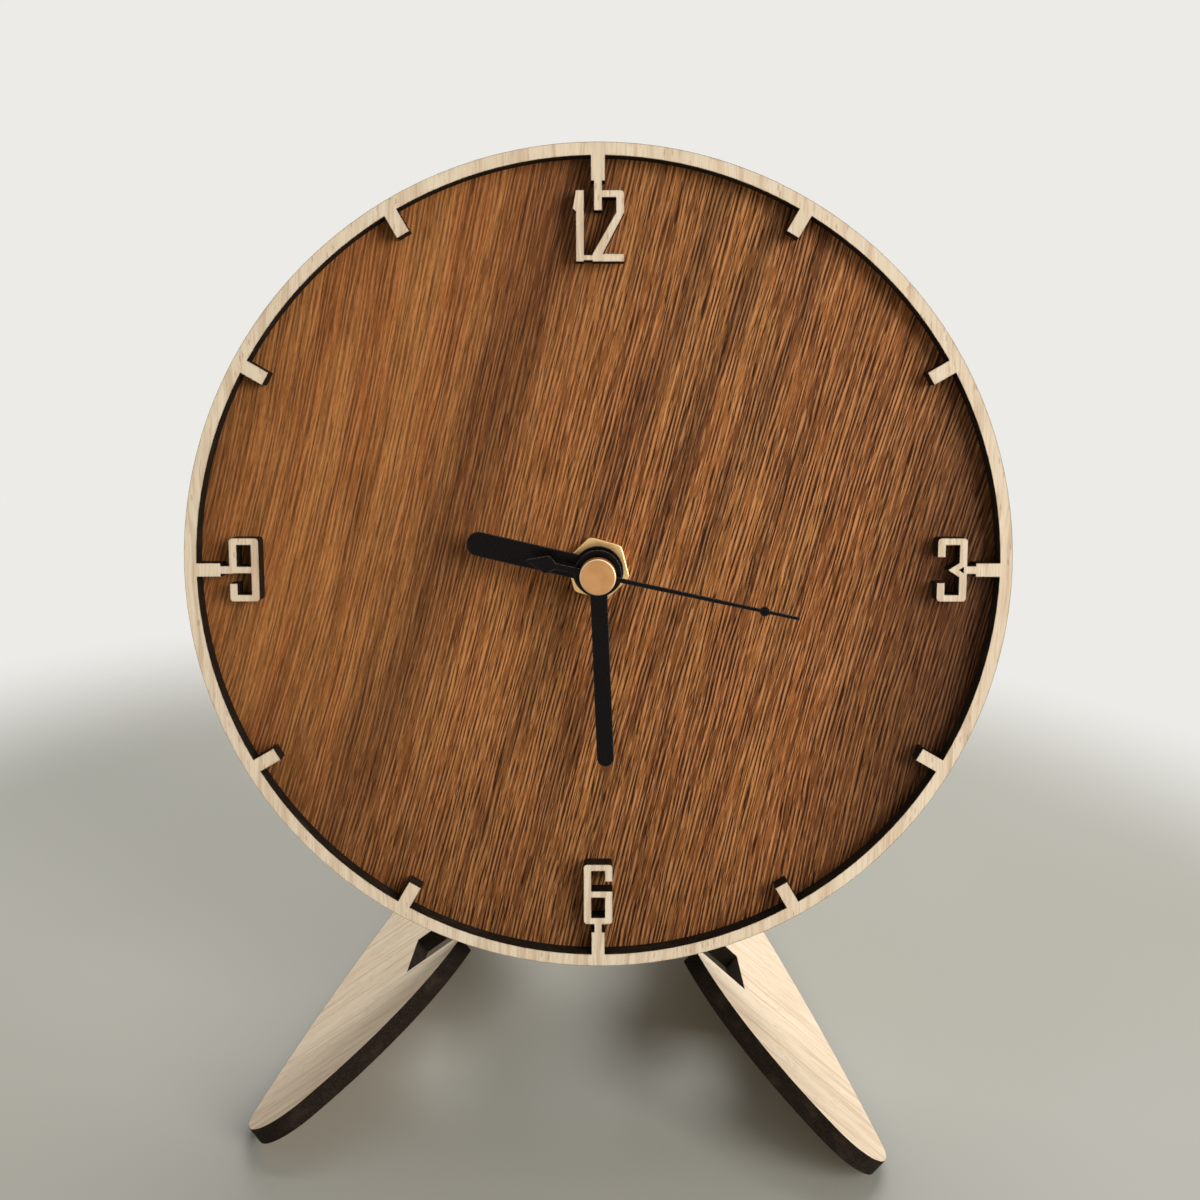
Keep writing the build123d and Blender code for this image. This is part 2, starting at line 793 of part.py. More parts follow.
def setting_stem():
    """The stem that the knob turns, with the pinion that drives the minute wheel."""
    phase = meshed_phase(setting_pinion_teeth, setting_direction, minute_wheel_teeth, minute_wheel_phase())
    front = case_inside + minute_layer
    stem = rod(pivot_radius, case_inside - pivot_length, front, setting_centre)
    stem += rod(arbor_radius, case_inside + running_clearance, front, setting_centre)
    stem += gear(setting_pinion_teeth, cannon_module, phase, minute_layer,
                 minute_pinion_thickness, setting_centre)
    stem += rod(stem_radius, front + minute_pinion_thickness, cover_back + knob_gap + knob_depth / 2,
                setting_centre)
    return stem


def setting_knob():
    """The fluted knob on the back of the movement."""
    front = cover_back + knob_gap
    face = Circle(knob_radius)
    for flute in range(knob_flute_count):
        place = polar(knob_radius, flute * 360 / knob_flute_count)
        face -= Pos(*place) * Circle(knob_flute_radius)
    knob = slab(Pos(*setting_centre) * face, front, front + knob_depth)
    return knob - rod(stem_radius, front - overrun, front + knob_depth / 2, setting_centre)


def gear_plate():
    """The plate that holds the rear pivots, on four posts of the case."""
    front = case_inside + plate_layer
    back = front + gear_plate_thickness
    half_width = gear_plate_size[0] / 2
    bottom = gear_floor + gear_plate_gap
    plate = block(-half_width, half_width, front, back, bottom, bottom + gear_plate_size[1])
    for centre in pivot_centres + ((0, 0),):
        plate -= rod(pivot_radius + running_clearance, front - overrun, back + overrun, centre)
    plate -= rod(stem_radius + running_clearance, front - overrun, back + overrun, setting_centre)
    return plate


# Motor and electronics


def stator():
    """The stator: a yoke round the rotor, two arms and the core through the coil."""
    front = case_inside + stator_layer
    middle = rotor_centre[0]
    left = middle - stator_width / 2
    right = middle + stator_width / 2
    core = stator_core_width / 2
    face = patch(left, right, stator_yoke_bottom, stator_yoke_top)
    face -= Pos(*rotor_centre) * Circle(stator_hole_radius)
    for inner, outer in ((left, left + stator_arm_width), (right - stator_arm_width, right)):
        face += patch(inner, outer, stator_yoke_bottom, coil_height + core)
    face += patch(left, right, coil_height - core, coil_height + core)
    return slab(face, front, front + stator_thickness)


def coil_span():
    """The coil's left and right ends, between the stator's arms."""
    middle = rotor_centre[0]
    half = stator_width / 2 - stator_arm_width - coil_bobbin_gap
    return middle - half, middle + half


def coil_axis_depth():
    return case_inside + stator_layer + stator_thickness / 2


def along_x(face, left, right):
    """A face drawn in y and z, as a solid between two widths, centred on the coil's axis."""
    plane = Plane(origin=(left, coil_axis_depth(), coil_height), x_dir=(0, 1, 0), z_dir=(1, 0, 0))
    return extrude(plane * face, amount=right - left, dir=(1, 0, 0))


def coil_bobbin():
    """A square tube round the core, with a round flange at each end."""
    left, right = coil_span()
    core_window = Rectangle(stator_thickness + 2 * coil_bobbin_gap, stator_core_width + 2 * coil_bobbin_gap)
    body = Rectangle(stator_thickness + 2 * (coil_bobbin_gap + coil_bobbin_wall),
                     stator_core_width + 2 * (coil_bobbin_gap + coil_bobbin_wall))
    bobbin = along_x(body, left, right)
    bobbin += along_x(Circle(coil_bobbin_radius), left, left + coil_flange)
    bobbin += along_x(Circle(coil_bobbin_radius), right - coil_flange, right)
    return bobbin - along_x(core_window, left - overrun, right + overrun)


def coil_winding():
    """The wound copper, as one solid of its outer shape."""
    left, right = coil_span()
    body = Rectangle(stator_thickness + 2 * (coil_bobbin_gap + coil_bobbin_wall),
                     stator_core_width + 2 * (coil_bobbin_gap + coil_bobbin_wall))
    return along_x(Circle(coil_winding_radius) - body, left + coil_flange, right - coil_flange)


def circuit_board():
    return block(-board_half, board_half, board_back - board_thickness, board_back,
                 board_bottom, board_bottom + board_height)


def quartz_crystal():
    """The crystal's can, lying on the circuit board."""
    x, z = crystal_place
    plane = Plane(origin=(x, board_back + crystal_radius, board_bottom + z), x_dir=(0, 1, 0), z_dir=(1, 0, 0))
    can = extrude(plane * Circle(crystal_radius), amount=crystal_length, dir=(1, 0, 0))
    return fillet(can.edges(), crystal_radius * crystal_round_share)


def clock_chip():
    """The clock's chip under its round blob, square here."""
    x = chip_place[0]
    z = board_bottom + chip_place[1]
    half = chip_side / 2
    return block(x - half, x + half, board_back, board_back + chip_thickness, z - half, z + half)


# Battery


def battery_centre():
    """Middle of the battery, in depth and height."""
    return case_inside + battery_radius + case_clearance, (bay_top + bay_floor) / 2


def across(radius, left, right):
    """A round bar along x through the battery's axis."""
    depth, height = battery_centre()
    plane = Plane(origin=(left, depth, height), x_dir=(0, 1, 0), z_dir=(1, 0, 0))
    return extrude(plane * Circle(radius), amount=right - left, dir=(1, 0, 0))


def battery_can():
    can = across(battery_radius, battery_left, battery_right)
    return fillet(can.edges(), battery_round)


def battery_nub():
    return across(battery_nub_radius, battery_right, battery_right + battery_nub_length)


def contact(side, tip_place):
    """A contact strip: a pad on the bay's end wall with a bump, and a tail to the circuit board."""
    depth, height = battery_centre()
    inner = side * (cavity_half - contact_thickness)
    low, high = sorted((side * cavity_half, inner))
    half = contact_pad_side / 2
    strip = block(low, high, depth - half, depth + half, height - half, height + half)
    strip += block(low, high, board_back - contact_width, board_back, height, board_bottom + board_height / 2)
    base = Plane(origin=(inner, depth, height), x_dir=(0, 1, 0), z_dir=(1, 0, 0))
    tip = Plane(origin=(tip_place, depth, height), x_dir=(0, 1, 0), z_dir=(1, 0, 0))
    return strip + loft([base * Circle(contact_bump_radius), tip * Circle(contact_bump_tip_radius)])


def plus_contact():
    return contact(1, battery_right + battery_nub_length)


def minus_contact():
    return contact(-1, battery_left)


# Case


def case_outline(inset):
    """The case's rounded outline, drawn in by a wall or a clearance."""
    outline = RectangleRounded(2 * (movement_half - inset), case_top - case_bottom - 2 * inset,
                               movement_corner_radius - inset)
    return Pos(0, (case_top + case_bottom) / 2) * outline


def case_posts():
    """Posts on the case's front wall under the gear plate, the circuit board and the stator."""
    plate_x = gear_plate_size[0] / 2 - post_radius
    plate_low = gear_floor + gear_plate_gap + post_radius
    plate_high = plate_low + gear_plate_size[1] - 2 * post_radius
    board_x = board_half - 2 * post_radius
    board_z = board_bottom + board_height / 2
    places = [(x, z, plate_layer) for x in (-plate_x, plate_x) for z in (plate_low, plate_high)]
    places += [(x, board_z, board_layer) for x in (-board_x, board_x)]
    coil_left, coil_right = coil_span()
    places += [(x, rotor_centre[1], stator_layer)
               for x in (coil_left - stator_arm_width / 2, coil_right + stator_arm_width / 2)]
    return [rod(post_radius, case_inside - overrun, case_inside + layer, (x, z)) for x, z, layer in places]


def movement_case():
    """The moulded case: a gear room above, a battery bay below, posts and pivot holes."""
    inner = case_outline(case_wall)
    room = patch(-cavity_half, cavity_half, gear_floor, room_top)
    bay = patch(-cavity_half, cavity_half, bay_floor, bay_top)
    shell = slab(case_outline(0), case_front, case_back)
    shell -= slab(room & inner, case_inside, case_back + overrun)
    shell -= slab(bay & inner, case_inside, case_back + overrun)
    tail_front = board_back - contact_width - case_clearance
    for side in (-1, 1):
        low, high = sorted((side * cavity_half, side * (cavity_half - contact_thickness - case_clearance)))
        shell -= block(low, high, tail_front, case_back + overrun, bay_top - overrun, gear_floor + overrun)
    shell += case_posts()
    shell -= rod(bush_radius, case_front - overrun, case_inside + overrun)
    for centre in pivot_centres + (setting_centre,):
        shell -= rod(pivot_radius + running_clearance, case_inside - pivot_length - running_clearance,
                     case_inside + overrun, centre)
    return shell + snap_ledges()


def snap_heights():
    """Heights of the cover's snap tabs on the case's sides and the middle of each window."""
    return (gear_floor + room_top) / 2, case_back - snap_window_drop


def snap_ledges():
    """The small ledges on the case's sides that the cover's windows catch on."""
    height, depth = snap_heights()
    half_width = snap_window_width / 2 - case_clearance
    half_depth = snap_window_height / 2 - case_clearance
    ledges = []
    for side in (-1, 1):
        low, high = sorted((side * (movement_half - case_wall / 2), side * (movement_half + snap_ledge)))
        ledges.append(block(low, high, depth - half_depth, depth + half_depth,
                            height - half_width, height + half_width))
    return ledges


def movement_cover():
    """The cover over the gear room, with a lip, two snap tabs, slots and the knob's hole."""
    upper = patch(-movement_half, movement_half, bay_top, case_top)
    cover = slab(case_outline(0) & upper, case_back, cover_back)
    lip_half = cavity_half - case_clearance
    lip_bottom = gear_floor + case_clearance
    lip_top = room_top - case_clearance
    outer_lip = patch(-lip_half, lip_half, lip_bottom, lip_top)
    inner_lip = patch(cover_lip_wall - lip_half, lip_half - cover_lip_wall,
                      lip_bottom + cover_lip_wall, lip_top - cover_lip_wall)
    lip = (outer_lip - inner_lip) & case_outline(case_wall + case_clearance)
    cover += slab(lip, case_back - cover_lip_depth, case_back + cover_thickness / 2)
    height, depth = snap_heights()
    half_tab = snap_width / 2
    half_window = snap_window_width / 2
    half_rise = snap_window_height / 2
    for side in (-1, 1):
        root = side * (movement_half + case_clearance)
        low, high = sorted((root, root + side * snap_thickness))
        bridge_low, bridge_high = sorted((side * (movement_half - case_wall), high if side > 0 else low))
        cover += block(low, high, case_back - snap_length, cover_back, height - half_tab, height + half_tab)
        cover += block(bridge_low, bridge_high, case_back, cover_back, height - half_tab, height + half_tab)
        cover -= block(low - overrun if side < 0 else low, high + overrun if side > 0 else high,
                       depth - half_rise, depth + half_rise, height - half_window, height + half_window)
    first = -(grille_slot_count - 1) / 2
    for slot in range(grille_slot_count):
        rise = grille_centre[1] + (first + slot) * grille_slot_step
        face = Pos(grille_centre[0], rise) * SlotOverall(grille_slot_length, grille_slot_width)
        cover -= slab(face, case_back - overrun, cover_back + overrun)
    return cover - rod(stem_radius + running_clearance, case_back - overrun, cover_back + overrun,
                       setting_centre)


def head_pieces():
    """Every piece in the head's frame, by name, the legs not yet flattened."""
    pieces = {
        "dial_ring": dial_ring(),
        "dial_board": dial_board(),
        "backing_board": backing_board(),
        "left_leg": leg_blank(-1),
        "right_leg": leg_blank(1),
    }
    for make in (rubber_washer, threaded_bush, hex_nut, hour_hand, minute_hand, second_hand, hand_cap,
                 hour_wheel, minute_pipe, centre_wheel, second_wheel, third_wheel, minute_wheel,
                 intermediate_wheel, rotor_pinion, rotor_magnet, stator, coil_bobbin, coil_winding,
                 circuit_board, clock_chip, quartz_crystal, gear_plate, setting_stem, setting_knob,
                 battery_can, battery_nub, plus_contact, minus_contact, movement_case, movement_cover):
        pieces[make.__name__] = turned(make())
    return pieces


def flatten_foot(leg, table):
    """A leg with what lies below the table plane cut away."""
    box = leg.bounding_box()
    margin = Vector(overrun, overrun, overrun)
    low = box.min - margin
    size = box.max - box.min + margin + margin
    below = Pos(low.X + size.X / 2, low.Y + size.Y / 2, table - size.Z / 2) * Box(size.X, size.Y, size.Z)
    return leg - below


def standing_pieces():
    """Every piece as it stands: leaning back, on the table, with the origin under its middle."""
    pieces = {name: Rot(-lean_back_angle, 0, 0) * piece for name, piece in head_pieces().items()}
    table = pieces["left_leg"].bounding_box().min.Z + foot_flat_depth
    for name in ("left_leg", "right_leg"):
        pieces[name] = flatten_foot(pieces[name], table)
    boxes = [piece.bounding_box() for piece in pieces.values()]
    front = min(box.min.Y for box in boxes)
    back = max(box.max.Y for box in boxes)
    shift = Vector(0, -(front + back) / 2, -table)
    return {name: Pos(*shift) * piece for name, piece in pieces.items()}, shift


def in_row_frame(x, y, z, shift):
    """A point of the turned dial, in the finished part's frame."""
    turn = math.radians(-dial_turn_angle)
    lean = math.radians(-lean_back_angle)
    turned_x = x * math.cos(turn) + z * math.sin(turn)
    turned_z = z * math.cos(turn) - x * math.sin(turn)
    return Vector(turned_x, y * math.cos(lean) - turned_z * math.sin(lean),
                  y * math.sin(lean) + turned_z * math.cos(lean)) + shift


def main():
    os.makedirs("parts", exist_ok=True)
    pieces, shift = standing_pieces()
    for name, piece in pieces.items():
        export_step(one_solid(piece), f"parts/{name}.step")
    print("axis of the hands starts at", in_row_frame(0, 0, 0, shift))
    return pieces, shift


pieces, shift = main()
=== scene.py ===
"""The looks of the wooden desk clock: materials for all nodes, small moulded marks, floor, light, camera."""
import math

import bmesh
import bpy
from mathutils import Matrix, Vector


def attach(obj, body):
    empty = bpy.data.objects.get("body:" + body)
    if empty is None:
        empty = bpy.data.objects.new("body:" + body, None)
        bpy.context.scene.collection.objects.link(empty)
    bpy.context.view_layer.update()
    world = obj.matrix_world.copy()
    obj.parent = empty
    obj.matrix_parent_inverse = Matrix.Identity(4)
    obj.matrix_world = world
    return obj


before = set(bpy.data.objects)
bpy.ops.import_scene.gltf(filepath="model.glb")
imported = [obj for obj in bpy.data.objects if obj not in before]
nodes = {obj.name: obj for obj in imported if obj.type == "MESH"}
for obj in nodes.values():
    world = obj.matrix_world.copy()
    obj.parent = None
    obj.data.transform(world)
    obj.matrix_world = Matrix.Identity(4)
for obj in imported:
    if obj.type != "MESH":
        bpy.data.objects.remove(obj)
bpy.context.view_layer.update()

mm = 0.001

# Directions of the boards in the part's frame: across and up each face, and out of it
dial_centre = Vector((0, -16.89, 134.07)) * mm
dial_across = Vector((0.99858, 0.00832, 0.05255))
dial_out = Vector((0, -0.98769, 0.15643))
left_leg_out = Vector((-0.62796, 0.12174, 0.76866))
left_leg_across = Vector((0, 0.98769, -0.15643))

# Grain angles, in degrees from a face's up direction, clockwise as seen
dial_grain_angle = 14.5
ring_grain_angle = 1.0
leg_grain_angle = 4.0

# The dial's dark bands, in millimetres across the grain: middle, half width and darkness. They lean from
# the grain, have ragged sides, and are all shifted together.
dial_bands = ((-37, 16, 0.6), (-4, 5, 0.6), (10, 5, 0.6), (22, 4, 0.5), (36, 3, 0.4), (49, 3, 0.4))
dial_half = 100.0
band_lean = -0.11
band_raggedness = 14.0
band_shift = 9.0

# Painted shade, partly the wood's own darker tone, where the dial darkens towards its rim by the ring, in
# millimetres across or along the grain: start, end and share
right_painted_shade = (52.0, 86.0, 0.75)
left_painted_shade = (-84.0, -98.0, 0.6)
low_painted_shade = (-25.0, -90.0, 0.45)

# The fine marks are fainter on the dial's left: where they begin and stop to grow, and their shares there
lively_span = (-70.0, 20.0, 0.5, 1.0)

# How the dial's grain runs: how much it closes up away from the middle, and how far it wanders
grain_closing = -0.0000051
grain_wander = 4.0

# The fine lines along the dial's grain: their step, and how unevenly they follow each other
line_step = 1.0
line_unevenness = 14.0

# How far the light veneer's grain wanders, and how far its smoke marks reach from a cut, in millimetres
pale_grain_wander = 5.0
smoke_reach = 1.3

# The width of the burnt line round a light face and round a dark one, in millimetres
pale_wall_line = 0.3
dark_wall_line = 0.22

# The battery cell's wrap, in millimetres along the cell from its middle
wrap_band_start, wrap_band_end = 12.9, 13.1
wrap_lip = 24.6

# Marks moulded on the back of the movement, in millimetres in the upright head's frame. The head's lean
# and the arrow's start, end and head are in degrees.
lean_angle = 9.0
cover_back = 28.4
mark_height = 0.35
mark_root = 0.1
mark_round = 0.07
sign_reach = 1.6
sign_half_width = 0.4
sign_out = 21.0
sign_up = -8.3
knob_centre = (11.94, -1.88)
arrow_inside, arrow_outside = 7.4, 8.0
arrow_barb = 0.6
arrow_start, arrow_end, arrow_head = 50.0, 130.0, 10.0
arrow_steps = 16

# Half the floor's side, in metres
floor_half = 3.0

# How far from the clock the floor starts and ends to go into the backdrop, and the size of its clouds,
# in millimetres
fade_start = 230.0
fade_end = 380.0
floor_cloud = 220.0

# Lamps: place in metres, side in metres, power in watts and colour
lamps = {
    "lamp_right": ((1.0, -1.0, 0.65), 0.8, 18.5, (1.0, 0.985, 0.965)),
    "lamp_behind": ((0.15, 0.6, 1.2), 1.0, 13.5, (0.985, 0.99, 1.0)),
}
lamp_aim = (0, 0, 0.12)
sky_colour = (1.0, 0.99, 0.975)
sky_strength = 0.4

# The camera's place and directions, and its lens and film width in millimetres
camera_place = Vector((-0.84, -342.73, 224.45)) * mm
camera_forward = Vector((0.005, 0.9577, -0.2877))
camera_right = Vector((0.9986, 0.0103, 0.0522))
camera_lens = 42.0
camera_film = 36.0


def paint(red, green, blue):
    """A colour given as it looks on a screen, from 0 to 255, as Blender's linear colour."""
    parts = [part / 255 for part in (red, green, blue)]
    return tuple(p / 12.92 if p <= 0.04045 else ((p + 0.055) / 1.055) ** 2.4 for p in parts)


def board_axes(across, out, turn):
    """Rotation whose axes are across the grain, along it, and out of the board's face."""
    out = out.normalized()
    across = (across - out * across.dot(out)).normalized()
    along = out.cross(across)
    axes = Matrix((across, along, out)).transposed()
    return axes @ Matrix.Rotation(math.radians(-turn), 3, "Z")


backdrop_colour = paint(236, 235, 231)


class Recipe:
    """One material's node tree, with short ways to add to it."""

    def __init__(self, name):
        self.material = bpy.data.materials.new(name)
        self.material.use_nodes = True
        self.tree = self.material.node_tree
        self.tree.nodes.clear()
        self.shader = self.node("ShaderNodeBsdfPrincipled")
        output = self.node("ShaderNodeOutputMaterial")
        self.tree.links.new(self.shader.outputs["BSDF"], output.inputs["Surface"])

    def node(self, kind, **settings):
        made = self.tree.nodes.new(kind)
        for key, value in settings.items():
            setattr(made, key, value)
        return made

    def feed(self, socket, value):
        """Links a socket to another one, or sets it to a plain value."""
        if isinstance(value, bpy.types.NodeSocket):
            self.tree.links.new(value, socket)
        elif socket.type == "RGBA":
            socket.default_value = (*value, 1)
        else:
            socket.default_value = value

    def set(self, **values):
        """Feeds the shader's sockets, named in small letters with underscores."""
        names = {name.lower().replace(" ", "_"): name for name in self.shader.inputs.keys()}
        for key, value in values.items():
            self.feed(self.shader.inputs[names[key]], value)
        return self.material

    def maths(self, operation, *values):
        made = self.node("ShaderNodeMath", operation=operation)
        for socket, value in zip(made.inputs, values):
            self.feed(socket, value)
        return made.outputs[0]

    def span(self, value, low, high, start=0.0, end=1.0):
        """Goes smoothly from start, where value is low, to end, where it is high."""
        made = self.node("ShaderNodeMapRange", interpolation_type="SMOOTHSTEP")
        for socket, part in zip(made.inputs, (value, low, high, start, end)):
            self.feed(socket, part)
        return made.outputs[0]

    def blend(self, share, first, second):
        """The first colour, going to the second as share goes from 0 to 1."""
        made = self.node("ShaderNodeMix", data_type="RGBA")
        self.feed(made.inputs[0], share)
        colours = [socket for socket in made.inputs if socket.type == "RGBA"]
        self.feed(colours[0], first)
        self.feed(colours[1], second)
        return [socket for socket in made.outputs if socket.type == "RGBA"][0]

    def place(self, origin=(0, 0, 0), axes=None):
        """The point on the object, in millimetres, in the given axes."""
        made = self.node("ShaderNodeMapping", vector_type="TEXTURE")
        self.feed(made.inputs["Vector"], self.node("ShaderNodeTexCoord").outputs["Object"])
        made.inputs["Location"].default_value = origin
        if axes:
            made.inputs["Rotation"].default_value = axes.to_euler("XYZ")
        made.inputs["Scale"].default_value = (mm, mm, mm)
        return made.outputs[0]

    def dial_place(self, turn=0.0):
        """The point on the object, in millimetres across, along and out of the dial."""
        return self.place(dial_centre, board_axes(dial_across, dial_out, turn))

    def stretched(self, place, size, shift=0.0):
        """The place measured in units of the given size, so that a pattern has that size."""
        made = self.node("ShaderNodeMapping", vector_type="TEXTURE")
        self.feed(made.inputs["Vector"], place)
        made.inputs["Location"].default_value = (shift, shift, shift)
        made.inputs["Scale"].default_value = size
        return made.outputs[0]

    def noise(self, place, size, detail=2.0, roughness=0.5, shift=0.0):
        """Soft noise from 0 to 1, with marks of the given size in millimetres."""
        made = self.node("ShaderNodeTexNoise")
        self.feed(made.inputs["Vector"], self.stretched(place, size, shift))
        made.inputs["Scale"].default_value = 1.0
        made.inputs["Detail"].default_value = detail
        made.inputs["Roughness"].default_value = roughness
        return made.outputs[0]

    def parted(self, place):
        """A place's three coordinates."""
        made = self.node("ShaderNodeSeparateXYZ")
        self.feed(made.inputs[0], place)
        return made.outputs

    def joined(self, across, along, out):
        made = self.node("ShaderNodeCombineXYZ")
        for socket, part in zip(made.inputs, (across, along, out)):
            self.feed(socket, part)
        return made.outputs[0]

    def dashes(self, place, width, length, low, high, shift=0.0):
        """1 inside scattered dashes along the grain, 0 between them."""
        made = self.node("ShaderNodeTexVoronoi", feature="F1", voronoi_dimensions="2D")
        self.feed(made.inputs["Vector"], self.stretched(place, (width, length, 1.0), shift))
        made.inputs["Scale"].default_value = 1.0
        return self.span(made.outputs["Distance"], high, low)

    def ridges(self, value, bands, half):
        """The height of soft bands at a value, each given by its middle, half width and height.

        The ramp's own last stop stays, so past the last band the height rises to 1 at half.
        """
        made = self.node("ShaderNodeValToRGB")
        self.feed(made.inputs[0], self.maths("MULTIPLY_ADD", value, 0.5 / half, 0.5))
        ramp = made.color_ramp
        ramp.interpolation = "EASE"
        stops = []
        for middle, reach, height in bands:
            stops += [(middle - reach, 0.0), (middle, height), (middle + reach, 0.0)]
        for at, height in stops:
            share = min(max(0.5 + 0.5 * at / half, 0.0), 1.0)
            ramp.elements.new(share).color = (height, height, height, 1)
        ramp.elements.remove(ramp.elements[0])
        return made.outputs[0]

    def facing(self, normal, out):
        """How squarely a world normal faces one direction of the object."""
        turned = self.node("ShaderNodeVectorTransform", vector_type="NORMAL",
                           convert_from="WORLD", convert_to="OBJECT")
        self.feed(turned.inputs[0], normal)
        made = self.node("ShaderNodeVectorMath", operation="DOT_PRODUCT")
        self.feed(made.inputs[0], turned.outputs[0])
        made.inputs[1].default_value = out
        return self.maths("ABSOLUTE", made.outputs["Value"])

    def flatness(self, out):
        """1 on flat faces that look along a direction of the object, 0 on the walls between them."""
        return self.facing(self.node("ShaderNodeNewGeometry").outputs["True Normal"], out)

    def soft_normal(self, radius):
        """The normal rounded over near the edges."""
        made = self.node("ShaderNodeBevel", samples=4)
        made.inputs["Radius"].default_value = radius * mm
        return made.outputs[0]

    def bump(self, height, depth, normal=None):
        """A normal with small relief: height goes from 0 to 1 and depth is in millimetres."""
        made = self.node("ShaderNodeBump")
        made.inputs["Strength"].default_value = 1.0
        made.inputs["Distance"].default_value = depth * mm
        self.feed(made.inputs["Height"], height)
        if normal:
            self.feed(made.inputs["Normal"], normal)
        return made.outputs[0]


def wall_share(recipe, out, line):
    """1 on a board's cut walls and on a thin line round its faces, 0 on the faces."""
    flat = recipe.flatness(out)
    near = recipe.facing(recipe.soft_normal(line), out)
    return recipe.maths("MAXIMUM", recipe.span(flat, 0.9, 0.7), recipe.span(near, 0.992, 0.9))


def burnt_wood(recipe, place):
    """Colour of a wall cut by a laser: near black, with brown and ash-grey mottling."""
    fine = recipe.noise(place, (0.5, 0.5, 0.25), 4.0, 0.65)
    broad = recipe.noise(place, (7.0, 7.0, 4.0), 2.0, shift=3.0)
    colour = recipe.blend(recipe.span(fine, 0.42, 0.7), paint(18, 11, 5), paint(46, 35, 23))
    return recipe.blend(recipe.span(broad, 0.5, 0.75, 0.0, 0.4), colour, paint(62, 52, 40))


def pale_wood(name, out, across, turn, streaks):
    """Light veneer on both faces of a board whose cut walls are burnt."""
    recipe = Recipe(name)
    flat = recipe.place(dial_centre, board_axes(across, out, turn))
    across, along, deep = recipe.parted(flat)
    wander = recipe.noise(flat, (16.0, 30.0, 30.0), 2.0, 0.5, 3.0)
    place = recipe.joined(recipe.maths("MULTIPLY_ADD", wander, pale_grain_wander, across), along, deep)
    broad = recipe.noise(place, (9.0, 60.0, 30.0), 3.0, 0.6)
    bands = recipe.noise(place, (1.9, 40.0, 20.0), 3.0, 0.6, 7.0)
    fine = recipe.noise(place, (0.3, 8.0, 3.0), 3.0, 0.6, 11.0)
    flecks = recipe.dashes(place, 1.7, 7.0, 0.06, 0.16, 19.0)
    some = recipe.noise(place, (12.0, 12.0, 12.0), 1.0, 0.5, 31.0)
    flecks = recipe.maths("MULTIPLY", flecks, recipe.span(some, 0.45, 0.6))
    colour = recipe.blend(recipe.span(broad, 0.35, 0.65), paint(233, 216, 189), paint(227, 207, 179))
    colour = recipe.blend(recipe.span(bands, 0.48, 0.68, 0.0, streaks), colour, paint(184, 150, 116))
    colour = recipe.blend(recipe.span(fine, 0.45, 0.75, 0.0, 0.5), colour, paint(188, 152, 120))
    colour = recipe.blend(recipe.maths("MULTIPLY", flecks, 0.45), colour, paint(168, 112, 82))
    smoke = recipe.facing(recipe.soft_normal(smoke_reach), out)
    patches = recipe.noise(place, (5.0, 5.0, 5.0), 2.0, 0.5, 23.0)
    smoke = recipe.maths("MULTIPLY", recipe.span(smoke, 1.0, 0.86),
                         recipe.span(patches, 0.5, 0.7, 0.03, 0.35))
    colour = recipe.blend(smoke, colour, paint(150, 104, 66))
    walls = wall_share(recipe, out, pale_wall_line)
    colour = recipe.blend(walls, colour, burnt_wood(recipe, place))
    relief = recipe.maths("SUBTRACT", recipe.maths("MULTIPLY", fine, 0.6),
                          recipe.maths("MULTIPLY", flecks, 0.4))
    return recipe.set(base_color=colour, roughness=recipe.span(walls, 0.0, 1.0, 0.58, 0.86),
                      specular_ior_level=0.15, normal=recipe.bump(relief, 0.05))


